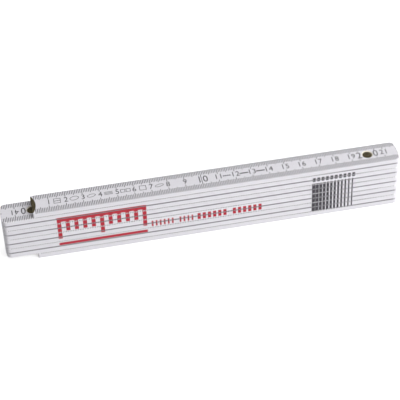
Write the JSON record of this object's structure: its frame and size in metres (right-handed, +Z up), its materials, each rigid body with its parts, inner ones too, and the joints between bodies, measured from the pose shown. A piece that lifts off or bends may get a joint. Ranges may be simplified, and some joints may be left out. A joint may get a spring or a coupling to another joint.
{
  "type": "folding rule",
  "caption": "Two-metre wooden folding rule, folded flat: white lacquered strips on sprung steel pivot hinges, with metal end caps.",
  "frame": {"origin": "centre of the folded rule's box, on the lower face of the lowest section", "axes": "+X along the sections, from the zero end to the first hinge; +Y across their width; +Z up through the stack"},
  "size_m": [0.237, 0.016, 0.0348],
  "materials": {
    "lacquered_wood": "satin white lacquer",
    "plated_spring_steel": "brass-plated spring steel, darkened",
    "rivet_steel": "brass-plated steel, darkened",
    "cap_brass": "brass-plated sheet, darkened"
  },
  "bodies": {
    "section_01": {"section_01": "lacquered_wood", "section_01_plate_rivets": "rivet_steel", "zero_end_cap": "cap_brass", "hinge_1_upper_plate": "plated_spring_steel", "hinge_1_pivot_rivet": "rivet_steel"},
    "section_02": {"section_02": "lacquered_wood", "section_02_plate_rivets": "rivet_steel", "hinge_2_upper_plate": "plated_spring_steel", "hinge_2_pivot_rivet": "rivet_steel", "hinge_1_lower_plate": "plated_spring_steel"},
    "section_03": {"section_03": "lacquered_wood", "section_03_plate_rivets": "rivet_steel", "hinge_3_upper_plate": "plated_spring_steel", "hinge_3_pivot_rivet": "rivet_steel", "hinge_2_lower_plate": "plated_spring_steel"},
    "section_04": {"section_04": "lacquered_wood", "section_04_plate_rivets": "rivet_steel", "hinge_4_upper_plate": "plated_spring_steel", "hinge_4_pivot_rivet": "rivet_steel", "hinge_3_lower_plate": "plated_spring_steel"},
    "section_05": {"section_05": "lacquered_wood", "section_05_plate_rivets": "rivet_steel", "hinge_5_upper_plate": "plated_spring_steel", "hinge_5_pivot_rivet": "rivet_steel", "hinge_4_lower_plate": "plated_spring_steel"},
    "section_06": {"section_06": "lacquered_wood", "section_06_plate_rivets": "rivet_steel", "hinge_6_upper_plate": "plated_spring_steel", "hinge_6_pivot_rivet": "rivet_steel", "hinge_5_lower_plate": "plated_spring_steel"},
    "section_07": {"section_07": "lacquered_wood", "section_07_plate_rivets": "rivet_steel", "hinge_7_upper_plate": "plated_spring_steel", "hinge_7_pivot_rivet": "rivet_steel", "hinge_6_lower_plate": "plated_spring_steel"},
    "section_08": {"section_08": "lacquered_wood", "section_08_plate_rivets": "rivet_steel", "hinge_8_upper_plate": "plated_spring_steel", "hinge_8_pivot_rivet": "rivet_steel", "hinge_7_lower_plate": "plated_spring_steel"},
    "section_09": {"section_09": "lacquered_wood", "section_09_plate_rivets": "rivet_steel", "hinge_9_upper_plate": "plated_spring_steel", "hinge_9_pivot_rivet": "rivet_steel", "hinge_8_lower_plate": "plated_spring_steel"},
    "section_10": {"section_10": "lacquered_wood", "section_10_plate_rivets": "rivet_steel", "far_end_cap": "cap_brass", "hinge_9_lower_plate": "plated_spring_steel"}
  },
  "joints": [
    {"name": "hinge_9", "type": "hinge", "parent": "section_10", "child": "section_09", "pos_m": [0.1, 0, 0.0034], "axis": [0, 0, 1], "range_deg": [-180, 180]},
    {"name": "hinge_8", "type": "hinge", "parent": "section_09", "child": "section_08", "pos_m": [-0.1, 0, 0.0069], "axis": [0, 0, 1], "range_deg": [-180, 180]},
    {"name": "hinge_7", "type": "hinge", "parent": "section_08", "child": "section_07", "pos_m": [0.1, 0, 0.0104], "axis": [0, 0, 1], "range_deg": [-180, 180]},
    {"name": "hinge_6", "type": "hinge", "parent": "section_07", "child": "section_06", "pos_m": [-0.1, 0, 0.0139], "axis": [0, 0, 1], "range_deg": [-180, 180]},
    {"name": "hinge_5", "type": "hinge", "parent": "section_06", "child": "section_05", "pos_m": [0.1, 0, 0.0174], "axis": [0, 0, 1], "range_deg": [-180, 180]},
    {"name": "hinge_4", "type": "hinge", "parent": "section_05", "child": "section_04", "pos_m": [-0.1, 0, 0.0209], "axis": [0, 0, 1], "range_deg": [-180, 180]},
    {"name": "hinge_3", "type": "hinge", "parent": "section_04", "child": "section_03", "pos_m": [0.1, 0, 0.0244], "axis": [0, 0, 1], "range_deg": [-180, 180]},
    {"name": "hinge_2", "type": "hinge", "parent": "section_03", "child": "section_02", "pos_m": [-0.1, 0, 0.0279], "axis": [0, 0, 1], "range_deg": [-180, 180]},
    {"name": "hinge_1", "type": "hinge", "parent": "section_02", "child": "section_01", "pos_m": [0.1, 0, 0.0314], "axis": [0, 0, 1], "range_deg": [-180, 180]}
  ]
}
